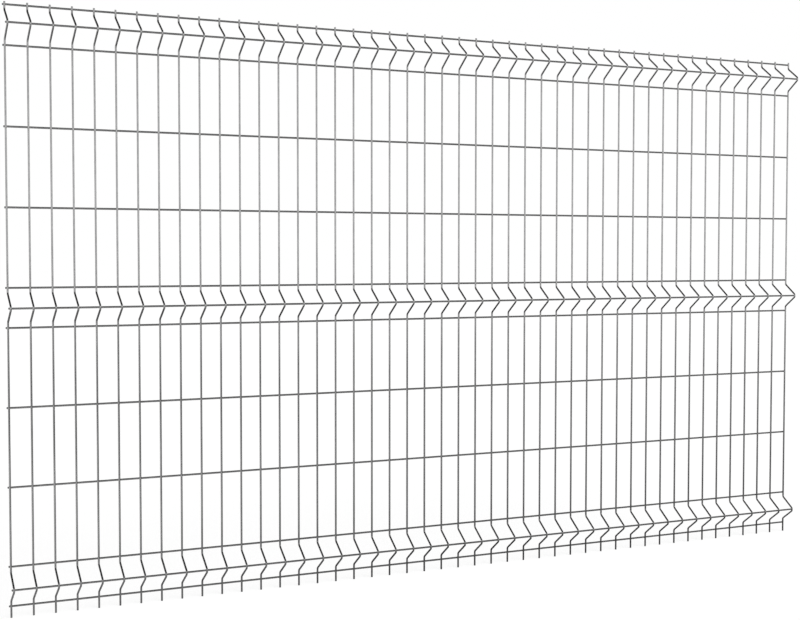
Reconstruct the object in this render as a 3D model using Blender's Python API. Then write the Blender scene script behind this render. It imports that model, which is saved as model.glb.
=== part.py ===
"""Welded steel fence panel: a flat mesh of straight horizontal wires and upright wires, stiffened by three V folds.

Metres, +Z up. X runs along the panel from the first upright wire, the folds stand out towards -Y, and the horizontal
wires bear on their posts at Y = 0. Z = 0 is the middle of the bottom wire.
"""

import math

import bmesh
import bpy
from mathutils import Matrix, Vector

# Wires
VERTICAL_DIAMETER = 0.005
HORIZONTAL_DIAMETER = 0.005
WIRE_SIDES = 6
WELD_GAP = 0.0003

# Mesh
VERTICAL_COUNT = 46
VERTICAL_PITCH = 0.05514
END_OVERHANG = 0.005
MESH_HEIGHT = 0.200
MESHES_IN_FIELD = 3
BOTTOM_SPIKE = 0.028
TOP_STUB = 0.007

# V folds, whose radii are those of the inside of the bent wire
FOLD_DEPTH = 0.0429
LEG_ANGLE = math.radians(54.0)
CREST_INNER_RADIUS = 0.0062
FOOT_INNER_RADIUS = 0.0055
FOLD_MARGIN = 0.0144
CREST_STEPS = 4
FOOT_STEPS = 2

# The horizontal wires of each fold and the fields between the folds, from the bottom up
FOLD_WIRES = (
    ("bottom_edge_wire", "bottom_crest_wire", "bottom_fold_upper_wire"),
    ("middle_fold_lower_wire", "middle_crest_wire", "middle_fold_upper_wire"),
    ("top_fold_lower_wire", "top_crest_wire", "top_edge_wire"),
)
FIELD_WIRES = ("lower_field_wire", "upper_field_wire")

# Finish
ZINC_GREY = (0.40, 0.41, 0.42, 1.0)
ZINC_ROUGHNESS = 0.3
ZINC_METALLIC = 0.9
SMOOTH_UNDER = math.radians(70.0)


def corner_radius(diameter):
    """Corner radius of the many-sided section that has the same area as the round wire."""
    turn = 2 * math.pi / WIRE_SIDES
    return diameter / 2 * math.sqrt(2 * math.pi / (WIRE_SIDES * math.sin(turn)))


def flat_distance(diameter):
    """Distance from the wire's centre line to the flats that face front and back."""
    return corner_radius(diameter) * math.cos(math.pi / WIRE_SIDES)


# Places that follow from the sizes
CREST_RADIUS = CREST_INNER_RADIUS + VERTICAL_DIAMETER / 2
FOOT_RADIUS = FOOT_INNER_RADIUS + VERTICAL_DIAMETER / 2
CORNER_DEPTH = FOLD_DEPTH + CREST_RADIUS * (1 / math.cos(LEG_ANGLE) - 1)
FOOT_REACH = CORNER_DEPTH / math.tan(LEG_ANGLE)
FOLD_HEIGHT = 2 * (FOOT_REACH + FOLD_MARGIN)
FOLD_PITCH = FOLD_HEIGHT + MESHES_IN_FIELD * MESH_HEIGHT
TOP_WIRE_Z = (len(FOLD_WIRES) - 1) * FOLD_PITCH + FOLD_HEIGHT
WELD_STEP = flat_distance(VERTICAL_DIAMETER) + WELD_GAP + flat_distance(HORIZONTAL_DIAMETER)
HORIZONTAL_Y = -flat_distance(HORIZONTAL_DIAMETER)
VERTICAL_Y = HORIZONTAL_Y - WELD_STEP
CREST_WIRE_Y = VERTICAL_Y - FOLD_DEPTH + WELD_STEP


def clear_scene():
    for obj in list(bpy.data.objects):
        bpy.data.objects.remove(obj, do_unlink=True)


def zinc_material(name):
    material = bpy.data.materials.new(name)
    material.use_nodes = True
    shader = material.node_tree.nodes["Principled BSDF"]
    shader.inputs["Base Color"].default_value = ZINC_GREY
    shader.inputs["Roughness"].default_value = ZINC_ROUGHNESS
    shader.inputs["Metallic"].default_value = ZINC_METALLIC
    return material


def bend(corner, heading, turn, radius, steps):
    """Points of a bend that rounds off a corner, and the heading after it. A positive turn leans towards -Y.

    The points are where lines that touch the bend's arc meet, so the run between the middle two touches it as well.
    """
    step_turn = Matrix.Rotation(turn / steps, 3, "X")
    half_step = radius * math.tan(abs(turn) / steps / 2)
    point = corner - heading * (radius * math.tan(abs(turn) / 2) - half_step)
    points = [point]
    for _ in range(steps - 1):
        heading = step_turn @ heading
        point = point + heading * 2 * half_step
        points.append(point)
    return points, step_turn @ heading


def vertical_path():
    """Centre line of an upright wire, from its spike to its top end, with a V fold at each crest wire."""
    heading = Vector((0.0, 0.0, 1.0))
    path = [Vector((0.0, 0.0, -BOTTOM_SPIKE))]
    for fold in range(len(FOLD_WIRES)):
        crest_z = fold * FOLD_PITCH + FOLD_HEIGHT / 2
        lower_foot = Vector((0.0, 0.0, crest_z - FOOT_REACH))
        crest = Vector((0.0, -CORNER_DEPTH, crest_z))
        upper_foot = Vector((0.0, 0.0, crest_z + FOOT_REACH))
        for corner, turn, radius, steps in (
            (lower_foot, LEG_ANGLE, FOOT_RADIUS, FOOT_STEPS),
            (crest, -2 * LEG_ANGLE, CREST_RADIUS, CREST_STEPS),
            (upper_foot, LEG_ANGLE, FOOT_RADIUS, FOOT_STEPS),
        ):
            points, heading = bend(corner, heading, turn, radius, steps)
            path.extend(points)
    path.append(Vector((0.0, 0.0, TOP_WIRE_Z + TOP_STUB)))
    return path


def horizontal_path():
    last_vertical_x = (VERTICAL_COUNT - 1) * VERTICAL_PITCH
    return [Vector((-END_OVERHANG, 0.0, 0.0)), Vector((last_vertical_x + END_OVERHANG, 0.0, 0.0))]


def wire_mesh(name, path, diameter, material):
    """Closed wire along a path: its end face is drawn out from point to point, and cut to the mitre at each bend."""
    heading = (path[1] - path[0]).normalized()
    upright = Vector((0.0, 0.0, 1.0)).rotation_difference(heading).to_matrix().to_4x4()
    flats_to_front = Matrix.Rotation(math.pi / WIRE_SIDES, 4, "Z")
    bm = bmesh.new()
    bmesh.ops.create_circle(
        bm,
        cap_ends=True,
        segments=WIRE_SIDES,
        radius=corner_radius(diameter),
        matrix=Matrix.Translation(path[0]) @ upright @ flats_to_front,
    )
    end = bm.faces[:][0]
    for index in range(1, len(path)):
        heading = (path[index] - path[index - 1]).normalized()
        following = heading
        if index + 1 < len(path):
            following = (path[index + 1] - path[index]).normalized()
        mitre = (heading + following).normalized()
        drawn = bmesh.ops.extrude_face_region(bm, geom=[end])["geom"]
        if index > 1:
            bmesh.ops.delete(bm, geom=[end], context="FACES_ONLY")
        end = next(item for item in drawn if isinstance(item, bmesh.types.BMFace))
        for vert in end.verts:
            vert.co += heading * ((path[index] - vert.co).dot(mitre) / heading.dot(mitre))
    bmesh.ops.recalc_face_normals(bm, faces=bm.faces)
    mesh = bpy.data.meshes.new(name)
    bm.to_mesh(mesh)
    bm.free()
    mesh.shade_smooth()
    mesh.set_sharp_from_angle(angle=SMOOTH_UNDER)
    mesh.materials.append(material)
    return mesh


def place(name, mesh, location, panel):
    wire = bpy.data.objects.new(name, mesh)
    wire.location = location
    wire.parent = panel
    bpy.context.collection.objects.link(wire)


def add_verticals(panel):
    mesh = wire_mesh("vertical_wire", vertical_path(), VERTICAL_DIAMETER, zinc_material("vertical_wire_zinc"))
    for number in range(VERTICAL_COUNT):
        place(f"vertical_wire_{number + 1:02d}", mesh, (number * VERTICAL_PITCH, VERTICAL_Y, 0.0), panel)


def add_horizontals(panel):
    mesh = wire_mesh(
        "horizontal_wire", horizontal_path(), HORIZONTAL_DIAMETER, zinc_material("horizontal_wire_zinc")
    )
    for fold, (lower, crest, upper) in enumerate(FOLD_WIRES):
        base_z = fold * FOLD_PITCH
        place(lower, mesh, (0.0, HORIZONTAL_Y, base_z), panel)
        place(crest, mesh, (0.0, CREST_WIRE_Y, base_z + FOLD_HEIGHT / 2), panel)
        place(upper, mesh, (0.0, HORIZONTAL_Y, base_z + FOLD_HEIGHT), panel)
    for field, name in enumerate(FIELD_WIRES):
        base_z = field * FOLD_PITCH + FOLD_HEIGHT
        for number in range(1, MESHES_IN_FIELD):
            place(f"{name}_{number}", mesh, (0.0, HORIZONTAL_Y, base_z + number * MESH_HEIGHT), panel)


def main():
    clear_scene()
    panel = bpy.data.objects.new("fence_panel", None)
    bpy.context.collection.objects.link(panel)
    add_verticals(panel)
    add_horizontals(panel)


main()
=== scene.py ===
"""Dresses a welded steel mesh fence panel: round zinc-coated wires, welds and sheared ends, and a studio.

Metres, +Z up. X runs along the panel, the folds stand out towards -Y, and the horizontal wires bear on Y = 0.
"""

import math
import random

import bmesh
import bpy
from mathutils import Matrix, Vector


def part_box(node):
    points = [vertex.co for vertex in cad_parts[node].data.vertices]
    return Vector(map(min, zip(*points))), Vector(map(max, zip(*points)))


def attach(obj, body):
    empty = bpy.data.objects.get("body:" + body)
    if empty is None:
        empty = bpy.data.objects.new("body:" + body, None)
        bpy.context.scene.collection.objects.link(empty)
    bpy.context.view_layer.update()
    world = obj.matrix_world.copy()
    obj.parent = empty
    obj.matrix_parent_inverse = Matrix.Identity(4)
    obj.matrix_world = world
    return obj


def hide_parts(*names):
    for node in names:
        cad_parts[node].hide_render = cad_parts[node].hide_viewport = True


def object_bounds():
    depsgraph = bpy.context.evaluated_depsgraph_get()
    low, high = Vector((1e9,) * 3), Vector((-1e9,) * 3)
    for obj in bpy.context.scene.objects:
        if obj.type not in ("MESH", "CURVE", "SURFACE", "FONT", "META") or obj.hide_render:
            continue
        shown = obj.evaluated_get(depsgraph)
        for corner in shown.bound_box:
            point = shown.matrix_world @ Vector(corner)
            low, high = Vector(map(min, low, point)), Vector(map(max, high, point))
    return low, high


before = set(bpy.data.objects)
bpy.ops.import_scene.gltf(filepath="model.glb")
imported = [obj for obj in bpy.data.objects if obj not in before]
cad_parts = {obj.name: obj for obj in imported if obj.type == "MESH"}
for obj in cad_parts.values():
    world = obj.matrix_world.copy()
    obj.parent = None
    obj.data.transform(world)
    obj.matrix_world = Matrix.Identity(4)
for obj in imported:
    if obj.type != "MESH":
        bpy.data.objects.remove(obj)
CAD_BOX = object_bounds()

bl_info = {
    "name": "Welded Mesh Fence Panel",
    "version": (1, 0, 0),
    "blender": (4, 5, 0),
    "location": "View3D > Sidebar > Fence Panel",
    "description": "Round zinc-coated wires, welds and sheared ends for a mesh fence panel, and a studio",
    "category": "Add Mesh",
}

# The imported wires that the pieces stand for
UPRIGHT_NODES = sorted(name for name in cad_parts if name.startswith("vertical_wire_"))
HORIZONTAL_NODES = sorted(set(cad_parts) - set(UPRIGHT_NODES), key=lambda name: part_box(name)[0].z)
CREST_NODES = [name for name in HORIZONTAL_NODES if "crest" in name]

# Mesh detail of a wire. It has a ring at each of these distances from a weld
WIRE_SIDES = 16
BEND_STEPS = 6
RING_OFFSETS = (-0.009, -0.003, 0.0, 0.003, 0.009)
SMOOTH_UNDER = math.radians(35.0)

# How far from a weld its electrode and its heat leave marks
ELECTRODE_REACH = 0.0035
HEAT_REACH = 0.008

# A sheared end: the length and size of each step of its rolled edge, and how far from square it is cut
SHEAR_ROLL = ((0.00010, 0.96), (0.00020, 0.88))
SHEAR_SLANT = math.radians(5.0)

# Place of the cut steel among a wire's materials
CUT_INDEX = 1

# Marks that the materials read on a wire: a point's place on the straight wire, and its nearness to a weld
RUN_ATTRIBUTE = "wire_run"
HEAT_ATTRIBUTE = "weld_heat"

# All wires are taken from one long wire, with their starts this far apart, so that no two look the same
RUN_BETWEEN_WIRES = 2.0

# A weld's bead: its faces round and from pole to pole, and how much its width and its height vary
WELD_SEGMENTS = 8
WELD_RINGS = 6
WELD_SEED = 11
WELD_WIDTH_RANGE = (0.88, 1.06)
WELD_HEIGHT_RANGE = (0.9, 1.1)

# Crystals of the zinc: how they are squeezed along the wire, and their borders' width as a share of them
CRYSTAL_SQUEEZE = (1.0, 1.0, 0.45)
BORDER_WIDTH = 0.12

# Where a mask of the finish begins and is full, and where it begins to fade and is gone
PATCH_RISE = (0.35, 0.65)
LINE_RISE = (0.3, 0.7)
THICK_ZINC_RISE = (0.55, 0.95)
DULL_RING_RISE = (0.30, 0.50)
DULL_RING_FALL = (0.55, 0.75)

# Noise: its detail in the fine patterns and in the patches, and its specks and their strength about a weld
FINE_DETAIL = 3.0
PATCH_DETAIL = 4.0
HEAT_SPECKS_PER_METRE = 900.0
HEAT_UNEVENNESS = 0.35

# Sizes of the patterns on the wires, the weld metal and the cuts
WIRE_PATCH_SIZE = 0.12
WELD_CRYSTAL_SIZE = 0.0012
WELD_PATCH_SIZE = 0.02
CUT_CRYSTAL_SIZE = 0.0006
CUT_PATCH_SIZE = 0.0025
CUT_LINE_WIDTH = 0.00012
CUT_LINE_LENGTH = 0.01

# What each mask adds to the tone, to the roughness and to the height of the relief
WIRE_TONE = {"crystals": 0.3, "patches": 0.55, "lines": 0.15}
WIRE_ROUGHNESS = {"crystals": -0.06, "patches": 0.04, "lines": 0.05, "thick zinc": 0.05}
WIRE_HEIGHT = {"borders": -0.4, "lines": 0.35, "lumps": 0.8}
WELD_TONE = {"crystals": 0.5, "patches": 0.5}
WELD_ROUGHNESS = {"patches": 0.10}
CUT_TONE = {"patches": 0.6, "lines": 0.3}
CUT_ROUGHNESS = {"crystals": 0.15}

# How fully a weld's dull ring and thick zinc cover the wire
DULL_RING_COVER = 0.35
THICK_ZINC_COVER = 0.7

# How much rougher than a wire the weld metal is, and how rough a cut is
WELD_ROUGHER_BY = 0.04
CUT_LEAST_ROUGHNESS = 0.42

# Depths of the reliefs
WIRE_RELIEF = 0.00003
WELD_RELIEF = 0.00008
CUT_RELIEF = 0.00004

# Sockets of a Mix node between colours
MIX_FACTOR = 0
MIX_FIRST = 6
MIX_SECOND = 7
MIX_RESULT = 2

# The key light's turn
KEY_TURN = (math.radians(48.0), 0.0, math.radians(20.0))

# Height at which the ground gives way to the backdrop, from 0, level, to 1, straight up
GROUND_EDGE = (-0.085, -0.005)

# The dark card: where it stands, how sharply it ends, and the depth at which it cuts the white backdrop off
CARD_TOWARDS = (-0.692, 0.692, -0.208)
CARD_EDGE = 12.0
CARD_CUTS_AT = 0.01

# The floor: its middle along the panel, half its width, its gap under the spikes, and how brightly it is lit
FLOOR_MIDDLE_X = 1.25
FLOOR_REACH = 40.0
FLOOR_GAP = 0.0005
FLOOR_LIT = 0.7

# Painted light on the floor that the wires mirror: a painted pool of light, painted shade behind the panel,
# and where it turns pale
PAINTED_POOL_MIDDLE = (-1.7, -0.1, 0.0)
PAINTED_POOL_RADIUS = 4.4
PAINTED_SHADE_MIDDLE = (0.3, 2.3, 0.0)
PAINTED_SHADE_RADIUS = 4.0
DIM_MIDDLE = (10.5, -0.2, 0.0)
DIM_EDGE = (12.0, 20.0)

AXIS_X = Vector((1.0, 0.0, 0.0))
AXIS_Z = Vector((0.0, 0.0, 1.0))
WHITE = (1.0, 1.0, 1.0, 1.0)


def length_setting(name, description, default):
    """A length that the user can change."""
    return bpy.props.FloatProperty(
        name=name, description=description, default=default, min=0.0, unit="LENGTH", subtype="DISTANCE"
    )


def share_setting(name, description, default, most=1.0):
    """A plain number from nothing to its most."""
    return bpy.props.FloatProperty(name=name, description=description, default=default, min=0.0, max=most)


def angle_setting(name, description, default):
    """An angle, given in degrees here and held in radians."""
    return bpy.props.FloatProperty(
        name=name, description=description, default=math.radians(default), unit="ROTATION", subtype="ANGLE"
    )


def colour_setting(name, description, default):
    """A plain colour without alpha."""
    return bpy.props.FloatVectorProperty(
        name=name, description=description, default=default, min=0.0, max=1.0, size=3, subtype="COLOR"
    )


class FencePanelWires(bpy.types.PropertyGroup):
    """Sizes of the wires, their folds and their welds."""

    upright_diameter: length_setting("Upright Diameter", "Thickness of the upright wires", 0.005)
    horizontal_diameter: length_setting("Horizontal Diameter", "Thickness of the horizontal wires", 0.005)
    weld_sink: length_setting("Weld Sink", "How far a weld presses one wire into the other", 0.0003)
    electrode_flat: length_setting("Electrode Flat", "Depth of the flat that the electrode leaves", 0.00015)
    weld_width: length_setting("Weld Width", "Half the width of the metal squeezed out at a weld", 0.0031)
    weld_thickness: length_setting("Weld Thickness", "Half the thickness of the metal squeezed out", 0.0011)
    fold_depth: length_setting("Fold Depth", "How far a fold stands out from the upright's own line", 0.0429)
    leg_angle: angle_setting("Leg Angle", "Lean of a fold's legs from the upright's own line", 54.0)
    crest_flat: length_setting("Crest Flat", "Straight stretch that a weld keeps at the tip of a fold", 0.004)
    crest_radius: length_setting("Crest Radius", "Radius of the wire's middle beside that stretch", 0.0048)
    foot_radius: length_setting("Foot Radius", "Radius of the wire's middle where a fold begins", 0.008)


class FencePanelZinc(bpy.types.PropertyGroup):
    """Colours and finish of the zinc and of the cut steel."""

    bright_zinc: colour_setting("Bright Zinc", "Zinc where the light catches its crystals", (0.5, 0.5, 0.5))
    dull_zinc: colour_setting("Dull Zinc", "Zinc that has weathered", (0.345, 0.345, 0.345))
    weld_zinc: colour_setting("Weld Zinc", "Thick pale zinc over a weld", (0.52, 0.52, 0.52))
    cut_steel: colour_setting("Cut Steel", "Bare steel on a sheared end", (0.15, 0.15, 0.15))
    roughness: share_setting("Roughness", "Roughness of the drawn and coated wire", 0.14)
    crystal_size: length_setting("Crystal Size", "Size of the zinc's crystals", 0.0035)
    grain_width: length_setting("Grain Width", "Width of the lines that drawing leaves on the wire", 0.00025)
    grain_length: length_setting("Grain Length", "Length of those lines", 0.03)


class FencePanelStudio(bpy.types.PropertyGroup):
    """Camera, light and floor."""

    camera_place: bpy.props.FloatVectorProperty(
        name="Camera Place",
        description="Where the camera stands",
        default=(-0.5584, -3.4417, 0.8858),
        unit="LENGTH",
        subtype="TRANSLATION",
    )
    camera_turn: bpy.props.FloatVectorProperty(
        name="Camera Turn",
        description="The camera's rotation",
        default=(math.radians(87.5987), math.radians(-0.0277), math.radians(-25.5047)),
        unit="ROTATION",
        subtype="EULER",
    )
    camera_lens: bpy.props.FloatProperty(
        name="Camera Lens", description="Focal length on a 36 mm sensor", default=60.510, unit="CAMERA"
    )
    floor_grey: share_setting("Floor Grey", "The floor's own grey", 0.24)
    backdrop_top: share_setting("Backdrop Top", "Where the white backdrop ends, 1 being straight up", 0.11)
    backdrop_fade: share_setting("Backdrop Fade", "How softly the backdrop darkens into the ceiling", 0.24)
    ground_grey: share_setting("Ground Grey", "Light that comes up from the ground far off", 0.54)
    ground_fall: share_setting("Ground Fall", "How much less of it comes from straight below", 0.39)
    dark_card: share_setting("Dark Card", "Depth of the dark card behind the panel on the left", 1.33, 2.0)
    # The floor's glow that the wires mirror is painted light: a painted pool of light on the left and painted
    # shade behind the panel
    floor_dim: share_setting("Floor Dim", "Brightness of the mirrored floor about the panel", 0.23)
    floor_pale: share_setting("Floor Pale", "Brightness of the mirrored floor far off", 0.80)
    painted_pool_light: share_setting("Pool of Light", "Light added to the mirrored floor on the left", 0.78)
    painted_shade_depth: share_setting("Shade Depth", "Light taken from it behind the panel", 1.0, 2.0)
    key_strength: share_setting("Key Strength", "Strength of the key light", 2.8, 10.0)
    key_softness: angle_setting("Key Softness", "How wide the key light is, seen from the panel", 50.0)


def middle(node):
    """Middle of a packed wire's box."""
    low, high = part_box(node)
    return (low + high) / 2


def horizontal_line(node, wires):
    """Place of a horizontal wire's middle line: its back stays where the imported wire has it."""
    line = middle(node)
    if node in CREST_NODES:
        line.y = upright_line(wires) - wires.fold_depth + weld_step(wires)
    else:
        line.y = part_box(node)[1].y - wires.horizontal_diameter / 2
    return line


def weld_step(wires):
    """Distance between the middle lines of two wires that are welded across each other."""
    return (wires.upright_diameter + wires.horizontal_diameter) / 2 - wires.weld_sink


def upright_line(wires):
    """Y of an upright's own line, between its folds."""
    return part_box(HORIZONTAL_NODES[0])[1].y - wires.horizontal_diameter / 2 - weld_step(wires)


class DrawnWire:
    """A wire drawn out ring by ring from its first end: straight runs are extruded and bends are spun."""

    def __init__(self, diameter, start, heading, across, welds):
        self.radius = diameter / 2
        self.place = start + heading * end_allowance(diameter)
        self.heading = heading
        self.across = across
        self.welds = welds
        self.run = 0.0
        self.pressed_rings = []
        self.mesh = bmesh.new()
        self.run_layer = self.mesh.verts.layers.float_vector.new(RUN_ATTRIBUTE)
        self.heat_layer = self.mesh.verts.layers.float.new(HEAT_ATTRIBUTE)
        turn = Matrix((across, across.cross(heading), -heading)).transposed().to_4x4()
        circle = bmesh.ops.create_circle(
            self.mesh, segments=WIRE_SIDES, radius=self.radius, matrix=Matrix.Translation(self.place) @ turn
        )
        self.verts = circle["verts"]
        self.edges = list({edge for vert in self.verts for edge in vert.link_edges})
        self.mark_ring()
        first_ring = self.verts, self.edges, self.place
        self.shear(-heading)
        self.verts, self.edges, self.place = first_ring

    def take(self, drawn):
        """Makes the newly drawn ring the wire's last one."""
        self.verts = [item for item in drawn if isinstance(item, bmesh.types.BMVert)]
        new = set(self.verts)
        edges = (item for item in drawn if isinstance(item, bmesh.types.BMEdge))
        self.edges = [edge for edge in edges if new.issuperset(edge.verts)]

    def mark_ring(self):
        """Notes on the last ring its place on the straight wire and how near a weld it is."""
        outward = self.across.cross(self.heading)
        away = min((self.place - weld).length for weld in self.welds)
        for vert in self.verts:
            offset = vert.co - self.place
            vert[self.run_layer] = (offset.dot(self.across), offset.dot(outward), self.run)
            vert[self.heat_layer] = max(0.0, 1.0 - away / HEAT_REACH)
        if away < ELECTRODE_REACH:
            self.pressed_rings.append((self.verts, self.place, outward))

    def straight(self, length):
        """Extrudes the last ring along the wire."""
        self.take(bmesh.ops.extrude_edge_only(self.mesh, edges=self.edges)["geom"])
        bmesh.ops.translate(self.mesh, verts=self.verts, vec=self.heading * length)
        self.place = self.place + self.heading * length
        self.run += length
        self.mark_ring()

    def straight_to(self, distance, welds):
        """Extrudes the wire until it is this far along its heading, with rings about the welds on the way."""
        start = self.place.dot(self.heading)
        stops = sorted(weld + offset for weld in welds for offset in RING_OFFSETS)
        for stop in [*(stop for stop in stops if start < stop < distance), distance]:
            self.straight(stop - self.place.dot(self.heading))

    def bend(self, angle, radius):
        """Spins the last ring into a bend. A positive angle leans an upward wire towards -Y."""
        centre = self.place - self.heading.cross(self.across) * math.copysign(radius, angle)
        step = angle / BEND_STEPS
        turn = Matrix.Rotation(step, 3, self.across)
        for _ in range(BEND_STEPS):
            drawn = bmesh.ops.spin(
                self.mesh,
                geom=self.verts + self.edges,
                cent=centre,
                axis=self.across,
                angle=step,
                steps=1,
                use_merge=False,
                use_duplicate=False,
            )
            self.take(drawn["geom_last"])
            self.place = centre + turn @ (self.place - centre)
            self.heading = turn @ self.heading
            self.run += radius * abs(step)
            self.mark_ring()

    def shear(self, outward):
        """Closes the last ring with a sheared end: a rolled edge, and a flat cut that isn't quite square."""
        for length, size in SHEAR_ROLL:
            self.take(bmesh.ops.extrude_edge_only(self.mesh, edges=self.edges)["geom"])
            self.place = self.place + outward * length
            about = Matrix.Translation(-self.place)
            bmesh.ops.translate(self.mesh, verts=self.verts, vec=outward * length)
            bmesh.ops.scale(self.mesh, verts=self.verts, vec=(size, size, size), space=about)
        slant = Matrix.Rotation(SHEAR_SLANT, 3, self.across)
        bmesh.ops.rotate(self.mesh, verts=self.verts, cent=self.place, matrix=slant)
        for face in bmesh.ops.edgeloop_fill(self.mesh, edges=self.edges)["faces"]:
            face.material_index = CUT_INDEX

    def press_flats(self, depth):
        """Presses the electrode's flat into the rings over each weld."""
        level = self.radius - depth
        for verts, place, outward in self.pressed_rings:
            for vert in verts:
                proud = (vert.co - place).dot(outward) - level
                if proud > 0:
                    vert.co -= outward * proud


def end_allowance(diameter):
    """Length that a sheared end takes beyond the last full ring."""
    return sum(length for length, _ in SHEAR_ROLL) + diameter / 2 * math.sin(SHEAR_SLANT)


def add_piece(mesh_data, name, materials, replaced=()):
    """Makes a piece of the finished bmesh and fastens it to the panel."""
    bmesh.ops.recalc_face_normals(mesh_data, faces=mesh_data.faces)
    mesh = bpy.data.meshes.new(name)
    mesh_data.to_mesh(mesh)
    mesh_data.free()
    for material in materials:
        mesh.materials.append(material)
    mesh.shade_smooth()
    mesh.set_sharp_from_angle(angle=SMOOTH_UNDER)
    piece = bpy.data.objects.new(name, mesh)
    bpy.context.collection.objects.link(piece)
    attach(piece, "root")
    if replaced:
        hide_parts(*replaced)


def add_node(tree, kind, **values):
    """Adds a node and sets its own values."""
    node = tree.nodes.new(kind)
    for name, value in values.items():
        setattr(node, name, value)
    return node


def feed(tree, socket, value):
    """Links an output to a socket, or sets the socket to a plain value."""
    if isinstance(value, bpy.types.NodeSocket):
        tree.links.new(value, socket)
    else:
        socket.default_value = value


def maths(tree, operation, *values, clamp=False):
    """Output of a Math node."""
    node = add_node(tree, "ShaderNodeMath", operation=operation, use_clamp=clamp)
    for socket, value in zip(node.inputs, values):
        feed(tree, socket, value)
    return node.outputs[0]


def ramp(tree, value, start, end, low=0.0, high=1.0):
    """A value carried smoothly from one range to another."""
    node = add_node(tree, "ShaderNodeMapRange", interpolation_type="SMOOTHSTEP")
    ranges = {"Value": value, "From Min": start, "From Max": end, "To Min": low, "To Max": high}
    for name, given in ranges.items():
        feed(tree, node.inputs[name], given)
    return node.outputs["Result"]


def add_up(tree, masks, shares, value=0.0):
    """A value with a share of each mask added to it."""
    for name, share in shares.items():
        value = maths(tree, "MULTIPLY_ADD", masks[name], share, value)
    return value


def blend_colours(tree, factor, first, second):
    """Output of a Mix node between two colours."""
    node = add_node(tree, "ShaderNodeMix", data_type="RGBA")
    feed(tree, node.inputs[MIX_FACTOR], factor)
    for index, colour in ((MIX_FIRST, first), (MIX_SECOND, second)):
        if not isinstance(colour, bpy.types.NodeSocket):
            colour = (*colour, 1.0)
        feed(tree, node.inputs[index], colour)
    return node.outputs[MIX_RESULT]


def mix_shaders(tree, factor, first, second):
    """Output of a Mix Shader node between two shaders."""
    node = add_node(tree, "ShaderNodeMixShader")
    for socket, value in zip(node.inputs, (factor, first.outputs[0], second.outputs[0])):
        feed(tree, socket, value)
    return node.outputs[0]


def node_group(name, inputs, outputs):
    """A new node group that makes masks from a run and some numbers, and its input and output nodes."""
    group = bpy.data.node_groups.new(name, "ShaderNodeTree")
    group.interface.new_socket(name="Run", in_out="INPUT", socket_type="NodeSocketVector")
    for socket in inputs:
        group.interface.new_socket(name=socket, in_out="INPUT", socket_type="NodeSocketFloat")
    for socket in outputs:
        group.interface.new_socket(name=socket, in_out="OUTPUT", socket_type="NodeSocketFloat")
    return group, group.nodes.new("NodeGroupInput"), group.nodes.new("NodeGroupOutput")


def drawn_grain_group():
    """Fine lines that run along the wire from the die it was drawn through."""
    if "Drawn Grain" in bpy.data.node_groups:
        return bpy.data.node_groups["Drawn Grain"]
    group, given, made = node_group("Drawn Grain", ("Line Width", "Line Length"), ("Lines",))
    scale = add_node(group, "ShaderNodeCombineXYZ")
    across = maths(group, "DIVIDE", 1.0, given.outputs["Line Width"])
    feed(group, scale.inputs["X"], across)
    feed(group, scale.inputs["Y"], across)
    feed(group, scale.inputs["Z"], maths(group, "DIVIDE", 1.0, given.outputs["Line Length"]))
    stretched = add_node(group, "ShaderNodeVectorMath", operation="MULTIPLY")
    feed(group, stretched.inputs[0], given.outputs["Run"])
    feed(group, stretched.inputs[1], scale.outputs["Vector"])
    noise = add_node(group, "ShaderNodeTexNoise")
    feed(group, noise.inputs["Vector"], stretched.outputs["Vector"])
    feed(group, noise.inputs["Scale"], 1.0)
    feed(group, noise.inputs["Detail"], FINE_DETAIL)
    feed(group, made.inputs["Lines"], ramp(group, noise.outputs["Fac"], *LINE_RISE))
    return group


def zinc_crystals_group():
    """Crystals of the zinc, each with a tone of its own, drawn out a little along the wire."""
    if "Zinc Crystals" in bpy.data.node_groups:
        return bpy.data.node_groups["Zinc Crystals"]
    group, given, made = node_group("Zinc Crystals", ("Size", "Patch Size"), ("Tone", "Borders", "Patches"))
    squeeze = add_node(group, "ShaderNodeVectorMath", operation="MULTIPLY")
    feed(group, squeeze.inputs[0], given.outputs["Run"])
    feed(group, squeeze.inputs[1], CRYSTAL_SQUEEZE)
    per_metre = maths(group, "DIVIDE", 1.0, given.outputs["Size"])
    cells = add_node(group, "ShaderNodeTexVoronoi", feature="F1")
    borders = add_node(group, "ShaderNodeTexVoronoi", feature="DISTANCE_TO_EDGE")
    for texture in (cells, borders):
        feed(group, texture.inputs["Vector"], squeeze.outputs["Vector"])
        feed(group, texture.inputs["Scale"], per_metre)
    tones = add_node(group, "ShaderNodeSeparateColor")
    feed(group, tones.inputs["Color"], cells.outputs["Color"])
    feed(group, made.inputs["Tone"], tones.outputs["Red"])
    feed(group, made.inputs["Borders"], ramp(group, borders.outputs["Distance"], 0.0, BORDER_WIDTH, 1.0, 0.0))
    patches = add_node(group, "ShaderNodeTexNoise")
    feed(group, patches.inputs["Vector"], given.outputs["Run"])
    feed(group, patches.inputs["Scale"], maths(group, "DIVIDE", 1.0, given.outputs["Patch Size"]))
    feed(group, patches.inputs["Detail"], PATCH_DETAIL)
    feed(group, made.inputs["Patches"], ramp(group, patches.outputs["Fac"], *PATCH_RISE))
    return group


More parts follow.
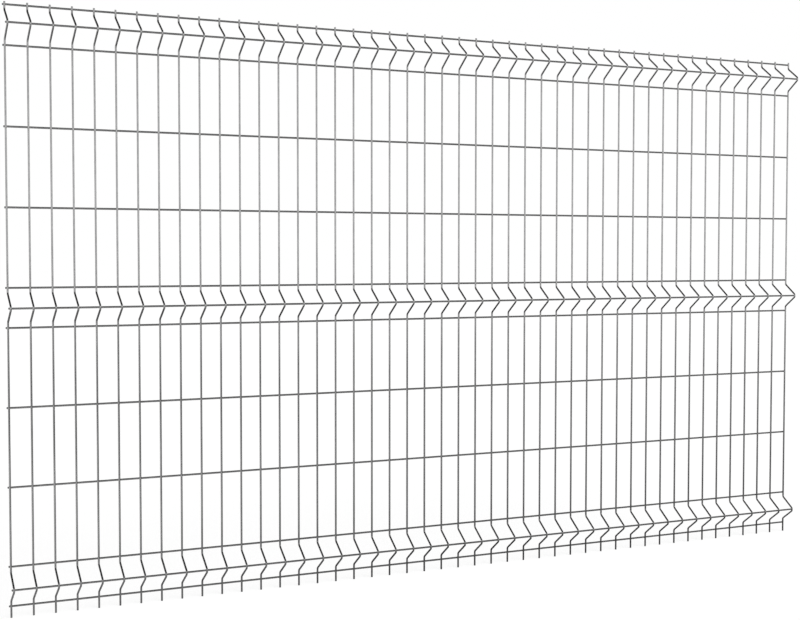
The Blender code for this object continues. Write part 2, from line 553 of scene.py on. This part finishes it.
def weld_heat_group():
    """What a weld's heat leaves on a wire: thick zinc with an uneven edge, and a dull ring about that."""
    if "Weld Heat" in bpy.data.node_groups:
        return bpy.data.node_groups["Weld Heat"]
    group, given, made = node_group("Weld Heat", ("Heat", "Unevenness"), ("Thick Zinc", "Dull Ring"))
    noise = add_node(group, "ShaderNodeTexNoise")
    feed(group, noise.inputs["Vector"], given.outputs["Run"])
    feed(group, noise.inputs["Scale"], HEAT_SPECKS_PER_METRE)
    feed(group, noise.inputs["Detail"], FINE_DETAIL)
    centred = maths(group, "SUBTRACT", noise.outputs["Fac"], 0.5)
    swing = maths(group, "MULTIPLY", centred, given.outputs["Unevenness"])
    heat = maths(group, "ADD", given.outputs["Heat"], swing)
    feed(group, made.inputs["Thick Zinc"], ramp(group, heat, *THICK_ZINC_RISE))
    rise = ramp(group, heat, *DULL_RING_RISE)
    fall = ramp(group, heat, *DULL_RING_FALL, 1.0, 0.0)
    feed(group, made.inputs["Dull Ring"], maths(group, "MULTIPLY", rise, fall))
    return group


def place_group(tree, group, **values):
    """Outputs of a group placed in a material, with its inputs fed."""
    node = add_node(tree, "ShaderNodeGroup", node_tree=group)
    for name, value in values.items():
        feed(tree, node.inputs[name.replace("_", " ")], value)
    return node.outputs


def relief(tree, height, distance):
    """Normal raised by a height."""
    bump = add_node(tree, "ShaderNodeBump")
    feed(tree, bump.inputs["Strength"], 1.0)
    feed(tree, bump.inputs["Distance"], distance)
    feed(tree, bump.inputs["Height"], height)
    return bump.outputs["Normal"]


def metal(name, build, zinc):
    """The metal of this name, which is built when it is first asked for."""
    if name in bpy.data.materials:
        return bpy.data.materials[name]
    material = bpy.data.materials.new(name)
    material.use_nodes = True
    shader = material.node_tree.nodes["Principled BSDF"]
    shader.inputs["Metallic"].default_value = 1.0
    build(material.node_tree, shader, zinc)
    return material


def drawn_zinc(tree, shader, zinc):
    """Zinc-coated drawn wire: crystals, lines along it, weathered patches, and thick pale zinc at welds."""
    run = add_node(tree, "ShaderNodeAttribute", attribute_name=RUN_ATTRIBUTE).outputs["Vector"]
    heat = add_node(tree, "ShaderNodeAttribute", attribute_name=HEAT_ATTRIBUTE).outputs["Fac"]
    crystals = place_group(
        tree, zinc_crystals_group(), Run=run, Size=zinc.crystal_size, Patch_Size=WIRE_PATCH_SIZE
    )
    grain = place_group(
        tree, drawn_grain_group(), Run=run, Line_Width=zinc.grain_width, Line_Length=zinc.grain_length
    )
    weld = place_group(tree, weld_heat_group(), Run=run, Heat=heat, Unevenness=HEAT_UNEVENNESS)
    masks = {
        "crystals": crystals["Tone"],
        "borders": crystals["Borders"],
        "patches": crystals["Patches"],
        "lines": grain["Lines"],
        "thick zinc": weld["Thick Zinc"],
        "lumps": maths(tree, "MULTIPLY", weld["Thick Zinc"], crystals["Tone"]),
    }
    colour = blend_colours(tree, add_up(tree, masks, WIRE_TONE), zinc.dull_zinc, zinc.bright_zinc)
    dull_ring = maths(tree, "MULTIPLY", weld["Dull Ring"], DULL_RING_COVER)
    colour = blend_colours(tree, dull_ring, colour, zinc.dull_zinc)
    thick_zinc = maths(tree, "MULTIPLY", weld["Thick Zinc"], THICK_ZINC_COVER)
    feed(tree, shader.inputs["Base Color"], blend_colours(tree, thick_zinc, colour, zinc.weld_zinc))
    feed(tree, shader.inputs["Roughness"], add_up(tree, masks, WIRE_ROUGHNESS, zinc.roughness))
    feed(tree, shader.inputs["Normal"], relief(tree, add_up(tree, masks, WIRE_HEIGHT), WIRE_RELIEF))


def weld_zinc(tree, shader, zinc):
    """Zinc over the metal squeezed out at a weld: paler and rougher than the wire, with a lumpy skin."""
    place = add_node(tree, "ShaderNodeTexCoord").outputs["Object"]
    crystals = place_group(
        tree, zinc_crystals_group(), Run=place, Size=WELD_CRYSTAL_SIZE, Patch_Size=WELD_PATCH_SIZE
    )
    masks = {"crystals": crystals["Tone"], "patches": crystals["Patches"]}
    colour = blend_colours(tree, add_up(tree, masks, WELD_TONE), zinc.bright_zinc, zinc.weld_zinc)
    rough = add_up(tree, masks, WELD_ROUGHNESS, zinc.roughness + WELD_ROUGHER_BY)
    feed(tree, shader.inputs["Base Color"], colour)
    feed(tree, shader.inputs["Roughness"], rough)
    feed(tree, shader.inputs["Normal"], relief(tree, crystals["Tone"], WELD_RELIEF))


def cut_steel(tree, shader, zinc):
    """Bare steel of a sheared end: dark, with fine lines across the cut and torn patches."""
    run = add_node(tree, "ShaderNodeAttribute", attribute_name=RUN_ATTRIBUTE).outputs["Vector"]
    crystals = place_group(
        tree, zinc_crystals_group(), Run=run, Size=CUT_CRYSTAL_SIZE, Patch_Size=CUT_PATCH_SIZE
    )
    grain = place_group(
        tree, drawn_grain_group(), Run=run, Line_Width=CUT_LINE_WIDTH, Line_Length=CUT_LINE_LENGTH
    )
    masks = {"crystals": crystals["Tone"], "patches": crystals["Patches"], "lines": grain["Lines"]}
    colour = blend_colours(tree, add_up(tree, masks, CUT_TONE), zinc.cut_steel, zinc.dull_zinc)
    rough = add_up(tree, masks, CUT_ROUGHNESS, CUT_LEAST_ROUGHNESS)
    feed(tree, shader.inputs["Base Color"], colour)
    feed(tree, shader.inputs["Roughness"], rough)
    feed(tree, shader.inputs["Normal"], relief(tree, crystals["Tone"], CUT_RELIEF))


def wire_copy(drawn, step, run):
    """A copy of a drawn wire at a step from it, with the marks of a place this far along the long wire."""
    copy = drawn.copy()
    bmesh.ops.translate(copy, verts=copy.verts, vec=step)
    layer = copy.verts.layers.float_vector[RUN_ATTRIBUTE]
    for vert in copy.verts:
        vert[layer] = vert[layer] + AXIS_Z * run
    return copy


def upright_wire(node, wires):
    """A drawn upright wire with its three folds, from spike to top end."""
    low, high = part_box(node)
    line = Vector((middle(node).x, upright_line(wires), 0.0))
    welds = []
    for name in HORIZONTAL_NODES:
        depth = wires.fold_depth if name in CREST_NODES else 0.0
        welds.append(Vector((line.x, line.y - depth, middle(name).z)))
    foot_arc = wires.foot_radius * math.tan(wires.leg_angle / 2)
    crest_arc = wires.crest_radius * math.tan(wires.leg_angle / 2)
    foot_reach = wires.fold_depth / math.tan(wires.leg_angle) + crest_arc + wires.crest_flat / 2
    leg = wires.fold_depth / math.sin(wires.leg_angle) - foot_arc - crest_arc
    flat_welds = [middle(name).z for name in HORIZONTAL_NODES if name not in CREST_NODES]
    spike = Vector((line.x, line.y, low.z))
    wire = DrawnWire(wires.upright_diameter, spike, AXIS_Z, AXIS_X, welds)
    for name in CREST_NODES:
        wire.straight_to(middle(name).z - foot_reach - foot_arc, flat_welds)
        wire.bend(wires.leg_angle, wires.foot_radius)
        wire.straight(leg)
        wire.bend(-wires.leg_angle, wires.crest_radius)
        wire.straight(wires.crest_flat / 2)
        wire.straight(wires.crest_flat / 2)
        wire.bend(-wires.leg_angle, wires.crest_radius)
        wire.straight(leg)
        wire.bend(wires.leg_angle, wires.foot_radius)
    wire.straight_to(high.z - end_allowance(wires.upright_diameter), flat_welds)
    wire.shear(wire.heading)
    wire.press_flats(wires.electrode_flat)
    return wire.mesh


def horizontal_wire(node, wires):
    """A drawn horizontal wire, straight from end to end."""
    low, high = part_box(node)
    line = horizontal_line(node, wires)
    columns = [middle(name).x for name in UPRIGHT_NODES]
    welds = [Vector((column, line.y, line.z)) for column in columns]
    left_end = Vector((low.x, line.y, line.z))
    wire = DrawnWire(wires.horizontal_diameter, left_end, AXIS_X, AXIS_Z, welds)
    wire.straight_to(high.x - end_allowance(wires.horizontal_diameter), columns)
    wire.shear(wire.heading)
    wire.press_flats(wires.electrode_flat)
    return wire.mesh


def weld_row(node, wires, chance):
    """The metal squeezed out where the uprights cross one horizontal wire."""
    line = horizontal_line(node, wires)
    contact = line.y - (wires.horizontal_diameter - wires.weld_sink) / 2
    poles_front = Matrix.Rotation(math.radians(90.0), 4, "X")
    mesh = bmesh.new()
    for name in UPRIGHT_NODES:
        place = Vector((middle(name).x, contact, line.z))
        width = wires.weld_width * chance.uniform(*WELD_WIDTH_RANGE)
        height = width * chance.uniform(*WELD_HEIGHT_RANGE)
        size = Matrix.Diagonal((width, height, wires.weld_thickness, 1.0))
        turn = Matrix.Rotation(chance.uniform(0.0, math.pi), 4, "Z")
        bmesh.ops.create_uvsphere(
            mesh,
            u_segments=WELD_SEGMENTS,
            v_segments=WELD_RINGS,
            radius=1.0,
            matrix=Matrix.Translation(place) @ poles_front @ size @ turn,
        )
    return mesh


class FENCE_OT_upright_wires(bpy.types.Operator):
    """Draws the 46 upright wires with their folds, sheared ends and electrode marks"""

    bl_idname = "fence.upright_wires"
    bl_label = "Upright Wires"

    def execute(self, context):
        wires, zinc = context.scene.fence_panel_wires, context.scene.fence_panel_zinc
        materials = (metal("upright_zinc", drawn_zinc, zinc), metal("cut_steel", cut_steel, zinc))
        first = UPRIGHT_NODES[0]
        drawn = upright_wire(first, wires)
        for number, node in enumerate(UPRIGHT_NODES):
            wire = wire_copy(drawn, AXIS_X * (middle(node).x - middle(first).x), number * RUN_BETWEEN_WIRES)
            add_piece(wire, f"drawn_{node}", materials, [node])
        drawn.free()
        return {"FINISHED"}


class FENCE_OT_horizontal_wires(bpy.types.Operator):
    """Draws the 13 horizontal wires behind the uprights"""

    bl_idname = "fence.horizontal_wires"
    bl_label = "Horizontal Wires"

    def execute(self, context):
        wires, zinc = context.scene.fence_panel_wires, context.scene.fence_panel_zinc
        materials = (metal("horizontal_zinc", drawn_zinc, zinc), metal("cut_steel", cut_steel, zinc))
        first = HORIZONTAL_NODES[0]
        drawn = horizontal_wire(first, wires)
        for number, node in enumerate(HORIZONTAL_NODES):
            step = horizontal_line(node, wires) - horizontal_line(first, wires)
            wire = wire_copy(drawn, step, -(number + 1) * RUN_BETWEEN_WIRES)
            add_piece(wire, f"drawn_{node}", materials, [node])
        drawn.free()
        return {"FINISHED"}


class FENCE_OT_welds(bpy.types.Operator):
    """Squeezes out the metal of the welds where the wires cross"""

    bl_idname = "fence.welds"
    bl_label = "Welds"

    def execute(self, context):
        wires, zinc = context.scene.fence_panel_wires, context.scene.fence_panel_zinc
        materials = (metal("weld_zinc", weld_zinc, zinc),)
        chance = random.Random(WELD_SEED)
        for node in HORIZONTAL_NODES:
            add_piece(weld_row(node, wires, chance), f"welds_on_{node}", materials)
        return {"FINISHED"}


class FENCE_OT_studio(bpy.types.Operator):
    """Sets up the camera, the soft light, the white backdrop and the pale floor"""

    bl_idname = "fence.studio"
    bl_label = "Studio"

    def execute(self, context):
        studio = context.scene.fence_panel_studio
        add_camera(context, studio)
        add_world(context, studio)
        add_key(context, studio)
        add_floor(context, studio)
        context.scene.view_settings.view_transform = "Standard"
        return {"FINISHED"}


def add_camera(context, studio):
    """The camera, at the photo's own place and angle."""
    lens = bpy.data.cameras.new("photo_camera")
    lens.lens = studio.camera_lens
    camera = bpy.data.objects.new("photo_camera", lens)
    camera.location = studio.camera_place
    camera.rotation_euler = studio.camera_turn
    context.collection.objects.link(camera)
    context.scene.camera = camera


def sees_white(tree, path):
    """1 for rays that see plain white: the camera's, and those sent on through clear things."""
    return maths(tree, "MAXIMUM", path.outputs["Is Camera Ray"], path.outputs["Is Transmission Ray"])


def add_world(context, studio):
    """White backdrop at eye level, a dim ceiling, grey ground, and a dark card that shades one side."""
    world = bpy.data.worlds.new("studio_world")
    world.use_nodes = True
    context.scene.world = world
    tree = world.node_tree
    output = tree.nodes["World Output"]
    surround = tree.nodes["Background"]
    direction = add_node(tree, "ShaderNodeTexCoord").outputs["Generated"]
    towards = add_node(tree, "ShaderNodeSeparateXYZ")
    feed(tree, towards.inputs["Vector"], direction)
    height = towards.outputs["Z"]
    over_backdrop = maths(tree, "SUBTRACT", studio.backdrop_top, height)
    ceiling = maths(tree, "EXPONENT", maths(tree, "DIVIDE", over_backdrop, studio.backdrop_fade))
    above = maths(tree, "MINIMUM", ceiling, 1.0)
    ground = maths(tree, "MULTIPLY_ADD", height, studio.ground_fall, studio.ground_grey)
    eye_level = ramp(tree, height, *GROUND_EDGE)
    rise = maths(tree, "MULTIPLY", maths(tree, "SUBTRACT", above, ground), eye_level)
    facing = add_node(tree, "ShaderNodeVectorMath", operation="DOT_PRODUCT")
    feed(tree, facing.inputs[0], direction)
    feed(tree, facing.inputs[1], CARD_TOWARDS)
    near_card = maths(tree, "POWER", maths(tree, "MAXIMUM", facing.outputs["Value"], 0.0), CARD_EDGE)
    card = maths(tree, "MULTIPLY", near_card, studio.dark_card, clamp=True)
    level = maths(tree, "MULTIPLY", maths(tree, "ADD", ground, rise), maths(tree, "SUBTRACT", 1.0, card))
    feed(tree, surround.inputs["Color"], level)
    backdrop = add_node(tree, "ShaderNodeBackground")
    feed(tree, backdrop.inputs["Color"], WHITE)
    white_band = maths(tree, "MULTIPLY", eye_level, maths(tree, "LESS_THAN", height, studio.backdrop_top))
    white_band = maths(tree, "MULTIPLY", white_band, maths(tree, "LESS_THAN", card, CARD_CUTS_AT))
    path = add_node(tree, "ShaderNodeLightPath")
    mirrored = maths(tree, "MULTIPLY", path.outputs["Is Glossy Ray"], white_band)
    white = maths(tree, "MAXIMUM", sees_white(tree, path), mirrored)
    feed(tree, output.inputs["Surface"], mix_shaders(tree, white, surround, backdrop))


def add_key(context, studio):
    """A wide soft light from the front right, high up, which the wires don't mirror."""
    lamp = bpy.data.lights.new("soft_key", "SUN")
    lamp.energy = studio.key_strength
    lamp.angle = studio.key_softness
    key = bpy.data.objects.new("soft_key", lamp)
    key.rotation_euler = KEY_TURN
    key.visible_glossy = False
    context.collection.objects.link(key)


def floor_spot(tree, middle_place, edge, low, high):
    """A value on the floor that goes smoothly from one level to another with the distance from a place."""
    away = add_node(tree, "ShaderNodeVectorMath", operation="DISTANCE")
    feed(tree, away.inputs[0], add_node(tree, "ShaderNodeTexCoord").outputs["Object"])
    feed(tree, away.inputs[1], middle_place)
    return ramp(tree, away.outputs["Value"], *edge, low, high)


def painted_floor_light(tree, studio):
    """The floor's glow that the wires mirror, painted light and shade: dim about the panel, a painted pool of
    light on its left, painted shade behind it, pale far off.
    """
    # Painted pool of light on the left, painted shade behind the panel
    pool = floor_spot(tree, PAINTED_POOL_MIDDLE, (0.0, PAINTED_POOL_RADIUS), studio.painted_pool_light, 0.0)
    shade = floor_spot(tree, PAINTED_SHADE_MIDDLE, (0.0, PAINTED_SHADE_RADIUS), studio.painted_shade_depth, 0.0)
    near = maths(tree, "SUBTRACT", maths(tree, "ADD", pool, studio.floor_dim), shade)
    pale = floor_spot(tree, DIM_MIDDLE, DIM_EDGE, 0.0, 1.0)
    rise = maths(tree, "MULTIPLY", maths(tree, "SUBTRACT", studio.floor_pale, near), pale)
    return maths(tree, "ADD", near, rise, clamp=True)


def add_floor(context, studio):
    """A pale floor under the spikes. Its own grey takes the panel's shadow, and a glow makes it white."""
    mesh_data = bmesh.new()
    level = Matrix.Translation((FLOOR_MIDDLE_X, 0.0, CAD_BOX[0].z - FLOOR_GAP))
    bmesh.ops.create_grid(mesh_data, x_segments=1, y_segments=1, size=FLOOR_REACH, matrix=level)
    mesh = bpy.data.meshes.new("studio_floor")
    mesh_data.to_mesh(mesh)
    mesh_data.free()
    material = bpy.data.materials.new("pale_floor")
    material.use_nodes = True
    tree = material.node_tree
    tree.nodes.remove(tree.nodes["Principled BSDF"])
    path = add_node(tree, "ShaderNodeLightPath")
    matt = add_node(tree, "ShaderNodeBsdfDiffuse")
    feed(tree, matt.inputs["Color"], (studio.floor_grey, studio.floor_grey, studio.floor_grey, 1.0))
    glow = add_node(tree, "ShaderNodeEmission")
    rest_of_white = 1.0 - FLOOR_LIT * studio.floor_grey
    feed(tree, glow.inputs["Strength"], maths(tree, "MULTIPLY", sees_white(tree, path), rest_of_white))
    both = add_node(tree, "ShaderNodeAddShader")
    feed(tree, both.inputs[0], matt.outputs[0])
    feed(tree, both.inputs[1], glow.outputs[0])
    # Mirrored rays see a glow with painted light and painted shade in place of the floor
    lit = add_node(tree, "ShaderNodeEmission")
    feed(tree, lit.inputs["Strength"], painted_floor_light(tree, studio))
    seen = mix_shaders(tree, path.outputs["Is Glossy Ray"], both, lit)
    feed(tree, tree.nodes["Material Output"].inputs["Surface"], seen)
    mesh.materials.append(material)
    floor = bpy.data.objects.new("studio_floor", mesh)
    context.collection.objects.link(floor)


class FENCE_PT_panel(bpy.types.Panel):
    """Lists what the fence panel is made of, with its sizes, finish and studio"""

    bl_label = "Fence Panel"
    bl_idname = "FENCE_PT_panel"
    bl_space_type = "VIEW_3D"
    bl_region_type = "UI"
    bl_category = "Fence Panel"

    def draw(self, context):
        for operator in OPERATORS:
            self.layout.operator(operator.bl_idname)
        for settings in (
            context.scene.fence_panel_wires,
            context.scene.fence_panel_zinc,
            context.scene.fence_panel_studio,
        ):
            box = self.layout.box()
            for name in settings.__annotations__:
                box.prop(settings, name)


OPERATORS = (FENCE_OT_upright_wires, FENCE_OT_horizontal_wires, FENCE_OT_welds, FENCE_OT_studio)
SETTINGS = {
    "fence_panel_wires": FencePanelWires,
    "fence_panel_zinc": FencePanelZinc,
    "fence_panel_studio": FencePanelStudio,
}


def register():
    for cls in (*SETTINGS.values(), *OPERATORS, FENCE_PT_panel):
        bpy.utils.register_class(cls)
    for name, cls in SETTINGS.items():
        setattr(bpy.types.Scene, name, bpy.props.PointerProperty(type=cls))


def unregister():
    for name in SETTINGS:
        delattr(bpy.types.Scene, name)
    for cls in (FENCE_PT_panel, *reversed(OPERATORS), *reversed(SETTINGS.values())):
        bpy.utils.unregister_class(cls)


def main():
    register()
    bpy.ops.fence.upright_wires()
    bpy.ops.fence.horizontal_wires()
    bpy.ops.fence.welds()
    bpy.ops.fence.studio()


if __name__ == "__main__":
    main()
